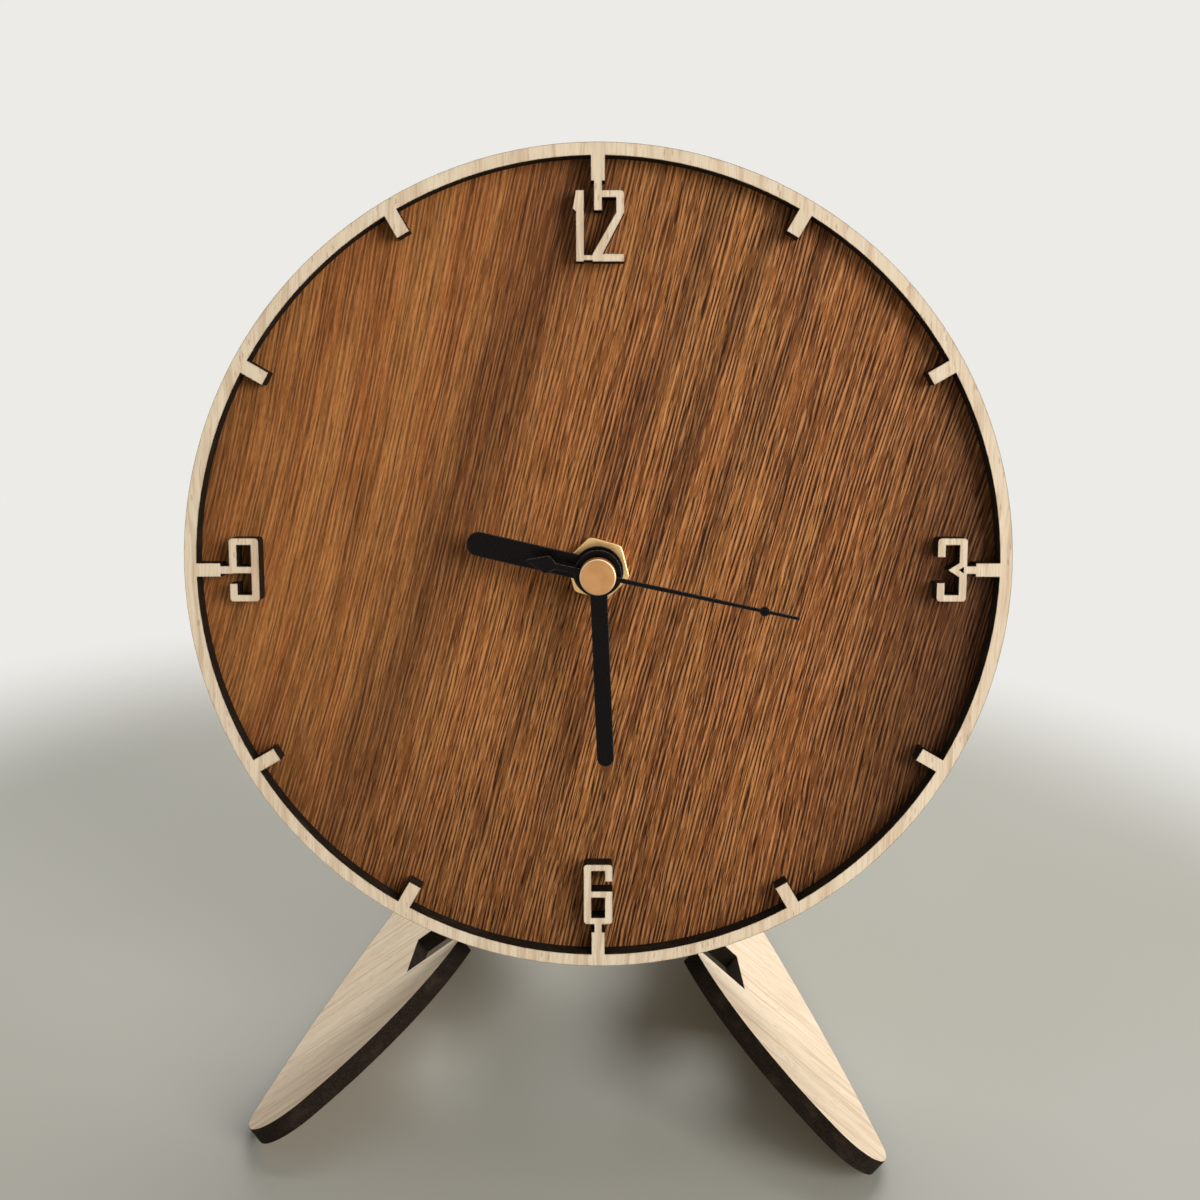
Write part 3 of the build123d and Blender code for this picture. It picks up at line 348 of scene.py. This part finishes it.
def walnut_wood():
    """The dial's walnut veneer: leaning grain, dark bands, painted shade towards the rim, and fine dark
    pores with light fibres and painted highlights beside them in rows.
    """
    recipe = Recipe("walnut_veneer_dial")
    flat = recipe.dial_place(dial_grain_angle)
    across, along, out = recipe.parted(flat)
    fan = recipe.maths("MULTIPLY", recipe.maths("MULTIPLY", along, along), grain_closing)
    wander = recipe.maths("MULTIPLY", recipe.noise(flat, (40.0, 130.0, 60.0), 1.0), grain_wander)
    across = recipe.maths("ADD", recipe.maths("MULTIPLY_ADD", across, fan, across), wander)
    place = recipe.joined(across, along, out)
    middle = recipe.maths("MULTIPLY_ADD", along, band_lean, across)
    ragged = recipe.noise(place, (3.0, 90.0, 50.0), 3.0, 0.6, 4.0)
    shifted = recipe.maths("SUBTRACT", middle, band_shift)
    ragged = recipe.maths("MULTIPLY_ADD", ragged, band_raggedness, shifted)
    # Past the last band the ridges rise to full darkness at the dial's right rim: painted shade by the ring.
    bands = recipe.ridges(ragged, dial_bands, dial_half)
    lively = recipe.span(middle, *lively_span)
    # Painted shade: the bands also darken the dial towards its right, left and lower rim, near the ring.
    for value, (start, end, share) in ((across, right_painted_shade), (across, left_painted_shade), (along, low_painted_shade)):
        bands = recipe.maths("MAXIMUM", bands, recipe.span(value, start, end, 0.0, share))
    tint = recipe.noise(place, (9.0, 80.0, 50.0), 2.0, 0.6, 9.0)
    streaks = recipe.noise(place, (2.4, 90.0, 30.0), 2.0, 0.6, 13.0)
    bundles = recipe.noise(place, (1.0, 30.0, 12.0), 2.0, 0.6, 15.0)
    fibres = recipe.noise(place, (0.42, 11.0, 6.0), 1.0, 0.5, 17.0)
    speckle = recipe.noise(place, (0.35, 1.6, 0.5), 2.0, 0.6, 21.0)
    uneven = recipe.noise(place, (2.2, 30.0, 10.0), 2.0, 0.5, 25.0)
    uneven = recipe.maths("MULTIPLY", uneven, line_unevenness)
    rows = recipe.maths("SINE", recipe.maths("MULTIPLY_ADD", across, math.tau / line_step, uneven))
    broken = recipe.noise(place, (0.9, 7.0, 5.0), 2.0, 0.5, 27.0)
    pores = recipe.maths("MULTIPLY", recipe.span(rows, -0.3, -0.95), recipe.span(broken, 0.4, 0.56))
    pores = recipe.maths("MAXIMUM", pores, recipe.dashes(place, 0.7, 12.0, 0.04, 0.15))
    # Painted highlights: light streaks beside the dark pores on the raised side of the fibres, partly the
    # fibres' own paler tone.
    light = recipe.maths("MULTIPLY", recipe.span(rows, 0.3, 0.95), recipe.span(broken, 0.38, 0.54))
    light = recipe.maths("MAXIMUM", light, recipe.dashes(place, 0.7, 12.0, 0.04, 0.13, 0.26))
    colour = recipe.blend(recipe.span(tint, 0.35, 0.65), paint(182, 120, 64), paint(170, 104, 54))
    colour = recipe.blend(bands, colour, paint(82, 52, 31))
    colour = recipe.blend(recipe.span(streaks, 0.47, 0.66, 0.0, 0.45), colour, paint(84, 46, 20))
    colour = recipe.blend(recipe.span(bundles, 0.45, 0.66, 0.0, 0.42), colour, paint(84, 42, 14))
    fibre_share = recipe.maths("MULTIPLY", recipe.span(fibres, 0.42, 0.6, 0.0, 0.55), lively)
    colour = recipe.blend(fibre_share, colour, paint(66, 30, 8))
    colour = recipe.blend(recipe.span(speckle, 0.4, 0.7, 0.0, 0.25), colour, paint(60, 30, 12))
    # The painted highlights are weaker in the dark bands and in the painted shade.
    light = recipe.maths("MULTIPLY", light, recipe.span(bands, 0.0, 1.0, 0.47, 0.14))
    colour = recipe.blend(recipe.maths("MULTIPLY", light, lively), colour, paint(236, 168, 112))
    pore_share = recipe.maths("MULTIPLY", pores, recipe.maths("MULTIPLY", lively, 0.9))
    colour = recipe.blend(pore_share, colour, paint(26, 8, 0))
    walls = wall_share(recipe, dial_out, dark_wall_line)
    colour = recipe.blend(walls, colour, burnt_wood(recipe, place))
    relief = recipe.maths("SUBTRACT", recipe.maths("MULTIPLY", fibres, 0.6),
                          recipe.maths("MULTIPLY", pores, lively))
    shine = recipe.maths("ADD", recipe.span(fibres, 0.3, 0.7, 0.44, 0.56),
                         recipe.maths("MULTIPLY", pores, 0.2))
    return recipe.set(base_color=colour, roughness=shine, specular_ior_level=0.1,
                      normal=recipe.bump(relief, 0.05))


def fibre_board():
    """The backing board: bare fibreboard with burnt walls."""
    recipe = Recipe("fibreboard_back")
    place = recipe.dial_place()
    fibres = recipe.noise(place, (0.25, 0.9, 0.4), 4.0, 0.7)
    clouds = recipe.noise(place, (14.0, 14.0, 14.0), 3.0, 0.6, 5.0)
    specks = recipe.noise(place, (0.5, 0.5, 0.5), 1.0, 0.5, 8.0)
    colour = recipe.blend(recipe.span(clouds, 0.35, 0.65), paint(176, 143, 103), paint(170, 136, 96))
    colour = recipe.blend(recipe.span(fibres, 0.4, 0.7, 0.0, 0.6), colour, paint(134, 100, 64))
    colour = recipe.blend(recipe.span(specks, 0.68, 0.76, 0.0, 0.7), colour, paint(92, 62, 38))
    walls = wall_share(recipe, dial_out, dark_wall_line)
    colour = recipe.blend(walls, colour, burnt_wood(recipe, place))
    return recipe.set(base_color=colour, roughness=recipe.span(fibres, 0.3, 0.7, 0.7, 0.86),
                      specular_ior_level=0.25, normal=recipe.bump(fibres, 0.04))


def plain_metal(name, light, dark, rough, brush, edge=0.25):
    """Turned or rolled metal: fine brush marks, soft stains, and a painted highlight along the rounded rims
    of its front faces.
    """
    recipe = Recipe(name)
    place = recipe.dial_place()
    marks = recipe.noise(place, brush, 3.0, 0.6)
    stains = recipe.noise(place, (3.5, 3.5, 3.5), 3.0, 0.6, 6.0)
    colour = recipe.blend(recipe.span(stains, 0.35, 0.7), light, dark)
    colour = recipe.blend(recipe.span(marks, 0.3, 0.7, 0.0, 0.25), colour, dark)
    shine = recipe.maths("ADD", recipe.span(marks, 0.25, 0.75, rough, rough + 0.12),
                         recipe.span(stains, 0.5, 0.8, 0.0, 0.08))
    # Painted highlight: a pale band where the front faces round over at their rims.
    rounded = recipe.soft_normal(edge)
    face = recipe.flatness(dial_out)
    rim = recipe.maths("MULTIPLY", recipe.span(recipe.facing(rounded, dial_out), 0.995, 0.85, 0.0, 0.75),
                       recipe.span(face, 0.5, 0.9))
    colour = recipe.blend(rim, colour, paint(250, 240, 214))
    return recipe.set(base_color=colour, metallic=1.0, roughness=shine,
                      normal=recipe.bump(marks, 0.006, rounded))


def moulded_plastic(name, colour, paler, rough, grain, depth, edge=0.25):
    """Moulded plastic: fine cast texture, faint paler blotches and softly rounded edges."""
    recipe = Recipe(name)
    place = recipe.place()
    texture = recipe.noise(place, (grain, grain, grain), 3.0, 0.6)
    blotches = recipe.noise(place, (6.0, 6.0, 6.0), 3.0, 0.6, 5.0)
    shade = recipe.blend(recipe.span(blotches, 0.35, 0.7), colour, paler)
    shade = recipe.blend(recipe.span(texture, 0.5, 0.75, 0.0, 0.35), shade, paler)
    shine = recipe.maths("ADD", recipe.span(texture, 0.3, 0.7, rough, rough + 0.1),
                         recipe.span(blotches, 0.4, 0.7, 0.0, 0.08))
    return recipe.set(base_color=shade, roughness=shine, specular_ior_level=0.45,
                      normal=recipe.bump(texture, depth, recipe.soft_normal(edge)))


def black_paint():
    """The hands: stamped metal under black half-gloss paint, with a painted highlight along their edges."""
    recipe = Recipe("hand_black_paint")
    place = recipe.dial_place()
    skin = recipe.noise(place, (0.5, 0.5, 0.5), 3.0, 0.6)
    dust = recipe.noise(place, (0.18, 0.18, 0.18), 1.0, 0.5, 4.0)
    colour = recipe.blend(recipe.span(skin, 0.35, 0.7), paint(7, 4, 3), paint(14, 9, 7))
    colour = recipe.blend(recipe.span(dust, 0.74, 0.82, 0.0, 0.5), colour, paint(96, 90, 84))
    # Painted highlight: a paler colour along the rounded edges of the front faces, standing for glints.
    edge = recipe.facing(recipe.soft_normal(0.1), dial_out)
    face = recipe.flatness(dial_out)
    paler = recipe.maths("MULTIPLY", recipe.span(edge, 0.995, 0.9), recipe.span(face, 0.5, 0.9))
    paler = recipe.maths("MULTIPLY", paler, recipe.span(skin, 0.35, 0.6, 0.1, 0.6))
    colour = recipe.blend(paler, colour, paint(120, 112, 102))
    return recipe.set(base_color=colour, roughness=recipe.span(skin, 0.3, 0.7, 0.2, 0.3),
                      specular_ior_level=0.1, normal=recipe.bump(skin, 0.004, recipe.soft_normal(0.12)))


def wound_copper():
    """The coil: rows of fine enamelled wire round the bobbin."""
    recipe = Recipe("coil_copper_wire")
    place = recipe.dial_place()
    turns = recipe.node("ShaderNodeTexWave", wave_type="BANDS", bands_direction="X", wave_profile="SIN")
    recipe.feed(turns.inputs["Vector"], recipe.stretched(place, (0.5, 0.5, 0.5)))
    turns.inputs["Scale"].default_value = 1.0
    turns.inputs["Distortion"].default_value = 0.4
    turns.inputs["Detail"].default_value = 1.0
    wires = turns.outputs["Fac"]
    tint = recipe.noise(place, (2.5, 2.5, 2.5), 2.0)
    colour = recipe.blend(recipe.span(tint, 0.35, 0.65), paint(196, 104, 58), paint(160, 74, 38))
    # Painted shade: darker in the grooves between the turns of wire.
    colour = recipe.blend(recipe.span(wires, 0.0, 0.5, 0.8, 0.0), colour, paint(70, 28, 14))
    return recipe.set(base_color=colour, metallic=0.75, roughness=recipe.span(tint, 0.3, 0.7, 0.28, 0.4),
                      coat_weight=0.4, normal=recipe.bump(wires, 0.05))


def circuit_green():
    """The circuit board: solder mask over copper tracks, with tinned pads."""
    recipe = Recipe("circuit_board_green")
    place = recipe.dial_place()
    cells = recipe.node("ShaderNodeTexVoronoi", feature="DISTANCE_TO_EDGE", distance="CHEBYCHEV")
    recipe.feed(cells.inputs["Vector"], recipe.stretched(place, (2.6, 2.6, 2.6)))
    cells.inputs["Scale"].default_value = 1.0
    cells.inputs["Randomness"].default_value = 0.55
    tracks = recipe.span(cells.outputs["Distance"], 0.12, 0.16, 0.0, 1.0)
    spots = recipe.node("ShaderNodeTexVoronoi", feature="F1")
    recipe.feed(spots.inputs["Vector"], recipe.stretched(place, (3.4, 3.4, 3.4)))
    spots.inputs["Scale"].default_value = 1.0
    pads = recipe.span(spots.outputs["Distance"], 0.15, 0.19, 1.0, 0.0)
    weave = recipe.noise(place, (0.3, 0.3, 0.3), 2.0)
    colour = recipe.blend(tracks, paint(24, 84, 50), paint(38, 118, 70))
    colour = recipe.blend(recipe.span(weave, 0.4, 0.7, 0.0, 0.3), colour, paint(16, 60, 36))
    colour = recipe.blend(pads, colour, paint(200, 198, 190))
    relief = recipe.maths("ADD", recipe.maths("MULTIPLY", tracks, 0.5), pads)
    return recipe.set(base_color=colour, metallic=pads, roughness=recipe.span(weave, 0.3, 0.7, 0.24, 0.36),
                      normal=recipe.bump(relief, 0.03))


def battery_wrap():
    """The cell's plain wrap: dark blue, with a copper-coloured band at the plus end."""
    recipe = Recipe("battery_wrap_plain")
    place = recipe.dial_place()
    along = recipe.parted(place)[0]
    band = recipe.span(along, wrap_band_start, wrap_band_end)
    lip = recipe.maths("GREATER_THAN", recipe.maths("ABSOLUTE", along), wrap_lip)
    scuffs = recipe.noise(place, (5.0, 1.2, 1.2), 4.0, 0.65)
    colour = recipe.blend(band, paint(32, 44, 74), paint(182, 112, 62))
    colour = recipe.blend(recipe.span(scuffs, 0.58, 0.75, 0.0, 0.35), colour, paint(150, 150, 150))
    colour = recipe.blend(lip, colour, paint(190, 188, 182))
    bare = recipe.maths("MAXIMUM", lip, recipe.maths("MULTIPLY", band, 0.6))
    return recipe.set(base_color=colour, metallic=bare,
                      roughness=recipe.span(scuffs, 0.3, 0.7, 0.24, 0.4), coat_weight=0.3,
                      normal=recipe.bump(scuffs, 0.004, recipe.soft_normal(0.3)))


def white_plastic():
    """The wheels: milky moulded acetal."""
    recipe = Recipe("wheel_white_plastic")
    place = recipe.place()
    flow = recipe.noise(place, (1.8, 1.8, 1.8), 3.0, 0.6)
    skin = recipe.noise(place, (0.2, 0.2, 0.2), 2.0, 0.5, 4.0)
    colour = recipe.blend(recipe.span(flow, 0.35, 0.7), paint(232, 229, 218), paint(218, 213, 198))
    return recipe.set(base_color=colour, roughness=recipe.span(skin, 0.3, 0.7, 0.36, 0.5),
                      subsurface_weight=0.15, subsurface_radius=(mm, mm, mm), subsurface_scale=0.5,
                      normal=recipe.bump(skin, 0.006, recipe.soft_normal(0.08)))


def magnet_grey():
    """The rotor's pressed magnet: dark grey with a sandy skin."""
    recipe = Recipe("magnet_grey")
    place = recipe.place()
    sand = recipe.noise(place, (0.12, 0.12, 0.12), 3.0, 0.7)
    colour = recipe.blend(recipe.span(sand, 0.35, 0.7), paint(62, 62, 66), paint(94, 94, 98))
    return recipe.set(base_color=colour, metallic=0.6, roughness=recipe.span(sand, 0.3, 0.7, 0.45, 0.65),
                      normal=recipe.bump(sand, 0.01, recipe.soft_normal(0.15)))


def dress_nodes():
    """Gives every node its material, and returns the materials by node."""
    right_leg_out = Vector((-left_leg_out.x, left_leg_out.y, left_leg_out.z))
    brass_light, brass_dark = paint(250, 208, 142), paint(234, 182, 116)
    fine_turning = (0.1, 0.1, 0.1)
    brass = plain_metal("brass_turned", brass_light, brass_dark, 0.26, fine_turning)
    cap_brass = plain_metal("brass_satin_cap", paint(198, 149, 100), paint(186, 136, 86), 0.42,
                            fine_turning, 0.2)
    steel = plain_metal("steel_rolled", paint(168, 168, 172), paint(134, 134, 138), 0.32, (2.0, 0.12, 0.12))
    nickel = plain_metal("nickel_plate", paint(206, 203, 196), paint(178, 174, 166), 0.2, (0.4, 0.4, 0.4))
    case = moulded_plastic("case_black_plastic", paint(20, 20, 21), paint(40, 40, 41), 0.5, 0.35, 0.02)
    smooth = moulded_plastic("inner_black_plastic", paint(18, 18, 19), paint(34, 34, 36), 0.4, 0.3,
                             0.008, 0.12)
    rubber = moulded_plastic("washer_rubber", paint(22, 21, 20), paint(48, 46, 44), 0.8, 0.5, 0.03)
    looks = {
        "dial_ring": pale_wood("pale_veneer_ring", dial_out, dial_across, ring_grain_angle, 0.45),
        "left_leg": pale_wood("pale_veneer_left_leg", left_leg_out, left_leg_across, leg_grain_angle, 0.5),
        "right_leg": pale_wood("pale_veneer_right_leg", right_leg_out, left_leg_across, -leg_grain_angle,
                               0.5),
        "dial_board": walnut_wood(),
        "backing_board": fibre_board(),
        "rubber_washer": rubber,
        "threaded_bush": brass,
        "hex_nut": brass,
        "hand_cap": cap_brass,
        "minute_pipe": brass,
        "rotor_magnet": magnet_grey(),
        "stator": steel,
        "coil_winding": wound_copper(),
        "circuit_board": circuit_green(),
        "quartz_crystal": nickel,
        "battery_can": battery_wrap(),
        "battery_nub": nickel,
        "plus_contact": nickel,
        "minus_contact": nickel,
    }
    shared = (
        (black_paint(), ("hour_hand", "minute_hand", "second_hand")),
        (white_plastic(), ("hour_wheel", "centre_wheel", "second_wheel", "third_wheel", "minute_wheel",
                           "intermediate_wheel", "rotor_pinion", "setting_stem")),
        (case, ("movement_case", "movement_cover", "setting_knob")),
        (smooth, ("coil_bobbin", "clock_chip", "gear_plate")),
    )
    for material, names in shared:
        looks.update({name: material for name in names})
    for name, material in looks.items():
        nodes[name].material_slots[0].material = material
    missing = sorted(set(nodes) - set(looks))
    if missing:
        raise ValueError(f"no material for {missing}")
    return looks


def moulded_mark(name, outline, material):
    """A mark raised from the movement's cover, from its outline of points across and up the head."""
    shape = bmesh.new()
    low = cover_back - mark_root
    face = shape.faces.new([shape.verts.new((across, low, up)) for across, up in outline])
    raised = bmesh.ops.extrude_face_region(shape, geom=[face])["geom"]
    for corner in [part for part in raised if isinstance(part, bmesh.types.BMVert)]:
        corner.co.y = cover_back + mark_height
    bmesh.ops.recalc_face_normals(shape, faces=shape.faces)
    mesh = bpy.data.meshes.new(name)
    shape.to_mesh(mesh)
    shape.free()
    turn = Matrix.Rotation(math.radians(-lean_angle), 4, "X")
    mesh.transform(Matrix.Translation(dial_centre) @ turn @ Matrix.Scale(mm, 4))
    mesh.materials.append(material)
    piece = bpy.data.objects.new(name, mesh)
    bpy.context.scene.collection.objects.link(piece)
    soft = piece.modifiers.new("soft_edges", "BEVEL")
    soft.width = mark_round * mm
    soft.segments = 2
    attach(piece, "stand")


def round_knob(radius, angle):
    """A point round the setting knob, at an angle in degrees."""
    turn = math.radians(angle)
    return knob_centre[0] + radius * math.cos(turn), knob_centre[1] + radius * math.sin(turn)


def make_marks(material):
    """A plus and a minus above the battery, and a double arrow round the setting knob."""
    far, near = sign_reach, sign_half_width
    minus = [(-far, -near), (far, -near), (far, near), (-far, near)]
    plus = [(-far, -near), (-near, -near), (-near, -far), (near, -far), (near, -near), (far, -near),
            (far, near), (near, near), (near, far), (-near, far), (-near, near), (-far, near)]
    for name, outline, out in (("minus_mark", minus, -sign_out), ("plus_mark", plus, sign_out)):
        moulded_mark(name, [(across + out, up + sign_up) for across, up in outline], material)
    step = (arrow_end - arrow_start) / arrow_steps
    angles = [arrow_start + step * count for count in range(arrow_steps + 1)]
    middle = (arrow_inside + arrow_outside) / 2
    arrow = [round_knob(arrow_outside, angle) for angle in angles]
    arrow.append(round_knob(arrow_outside + arrow_barb, arrow_end))
    arrow.append(round_knob(middle, arrow_end + arrow_head))
    arrow.append(round_knob(arrow_inside - arrow_barb, arrow_end))
    arrow += [round_knob(arrow_inside, angle) for angle in reversed(angles)]
    arrow.append(round_knob(arrow_inside - arrow_barb, arrow_start))
    arrow.append(round_knob(middle, arrow_start - arrow_head))
    arrow.append(round_knob(arrow_outside + arrow_barb, arrow_start))
    moulded_mark("setting_arrow", arrow, material)


def seen_directly(tree):
    """1 for what the camera sees, also in a mirror or through glass, and 0 for light on the object."""
    path = tree.nodes.new("ShaderNodeLightPath")
    seen = path.outputs["Is Camera Ray"]
    for kind in ("Is Glossy Ray", "Is Transmission Ray"):
        either = tree.nodes.new("ShaderNodeMath")
        either.operation = "MAXIMUM"
        tree.links.new(seen, either.inputs[0])
        tree.links.new(path.outputs[kind], either.inputs[1])
        seen = either.outputs[0]
    return seen


def make_floor():
    """A pale grey table that goes over into the near-white backdrop behind the clock."""
    half = floor_half
    mesh = bpy.data.meshes.new("floor")
    corners = [(-half, -half, 0), (half, -half, 0), (half, half, 0), (-half, half, 0)]
    mesh.from_pydata(corners, [], [(0, 1, 2, 3)])
    floor = bpy.data.objects.new("floor", mesh)
    bpy.context.scene.collection.objects.link(floor)
    recipe = Recipe("floor_pale")
    place = recipe.place()
    reach = recipe.node("ShaderNodeVectorMath", operation="LENGTH")
    recipe.feed(reach.inputs[0], place)
    far = recipe.span(reach.outputs["Value"], fade_start, fade_end)
    clouds = recipe.noise(place, (floor_cloud, floor_cloud, floor_cloud), 2.0)
    colour = recipe.blend(recipe.span(clouds, 0.35, 0.65), paint(158, 156, 146), paint(162, 161, 152))
    recipe.set(base_color=colour, roughness=recipe.span(clouds, 0.3, 0.7, 0.42, 0.5), specular_ior_level=0.3)
    glow = recipe.node("ShaderNodeEmission")
    recipe.feed(glow.inputs["Color"], backdrop_colour)
    mix = recipe.node("ShaderNodeMixShader")
    recipe.feed(mix.inputs[0], recipe.maths("MULTIPLY", far, seen_directly(recipe.tree)))
    recipe.feed(mix.inputs[1], recipe.shader.outputs[0])
    recipe.feed(mix.inputs[2], glow.outputs[0])
    output = [node for node in recipe.tree.nodes if node.type == "OUTPUT_MATERIAL"][0]
    recipe.feed(output.inputs["Surface"], mix.outputs[0])
    mesh.materials.append(recipe.material)


def make_lamp(name, place, size, power, colour):
    """A soft square lamp at a place, shining on the clock."""
    data = bpy.data.lights.new(name, "AREA")
    data.shape = "SQUARE"
    data.size = size
    data.energy = power
    data.color = colour
    made = bpy.data.objects.new(name, data)
    bpy.context.scene.collection.objects.link(made)
    made.location = place
    made.rotation_euler = (Vector(lamp_aim) - Vector(place)).to_track_quat("-Z", "Y").to_euler()


def make_light():
    """A soft lamp from the right, a large one above and behind, and an even pale sky."""
    for name, settings in lamps.items():
        make_lamp(name, *settings)
    world = bpy.data.worlds.new("studio")
    bpy.context.scene.world = world
    world.use_nodes = True
    tree = world.node_tree
    tree.nodes.clear()
    output = tree.nodes.new("ShaderNodeOutputWorld")
    light = tree.nodes.new("ShaderNodeBackground")
    seen = tree.nodes.new("ShaderNodeBackground")
    mix = tree.nodes.new("ShaderNodeMixShader")
    light.inputs["Color"].default_value = (*sky_colour, 1)
    light.inputs["Strength"].default_value = sky_strength
    seen.inputs["Color"].default_value = (*backdrop_colour, 1)
    tree.links.new(seen_directly(tree), mix.inputs["Fac"])
    tree.links.new(light.outputs[0], mix.inputs[1])
    tree.links.new(seen.outputs[0], mix.inputs[2])
    tree.links.new(mix.outputs[0], output.inputs["Surface"])


def make_camera():
    """The camera where the photograph was taken from."""
    data = bpy.data.cameras.new("camera")
    data.sensor_fit = "HORIZONTAL"
    data.sensor_width = camera_film
    data.lens = camera_lens
    data.clip_start = 0.01
    camera = bpy.data.objects.new("camera", data)
    bpy.context.scene.collection.objects.link(camera)
    back = -camera_forward.normalized()
    up = back.cross(camera_right).normalized()
    right = up.cross(back)
    turn = Matrix((right, up, back)).transposed().to_4x4()
    camera.matrix_world = Matrix.Translation(camera_place) @ turn
    bpy.context.scene.camera = camera


make_camera()
make_marks(dress_nodes()["movement_cover"])
make_floor()
make_light()
bpy.context.scene.view_settings.view_transform = "Standard"
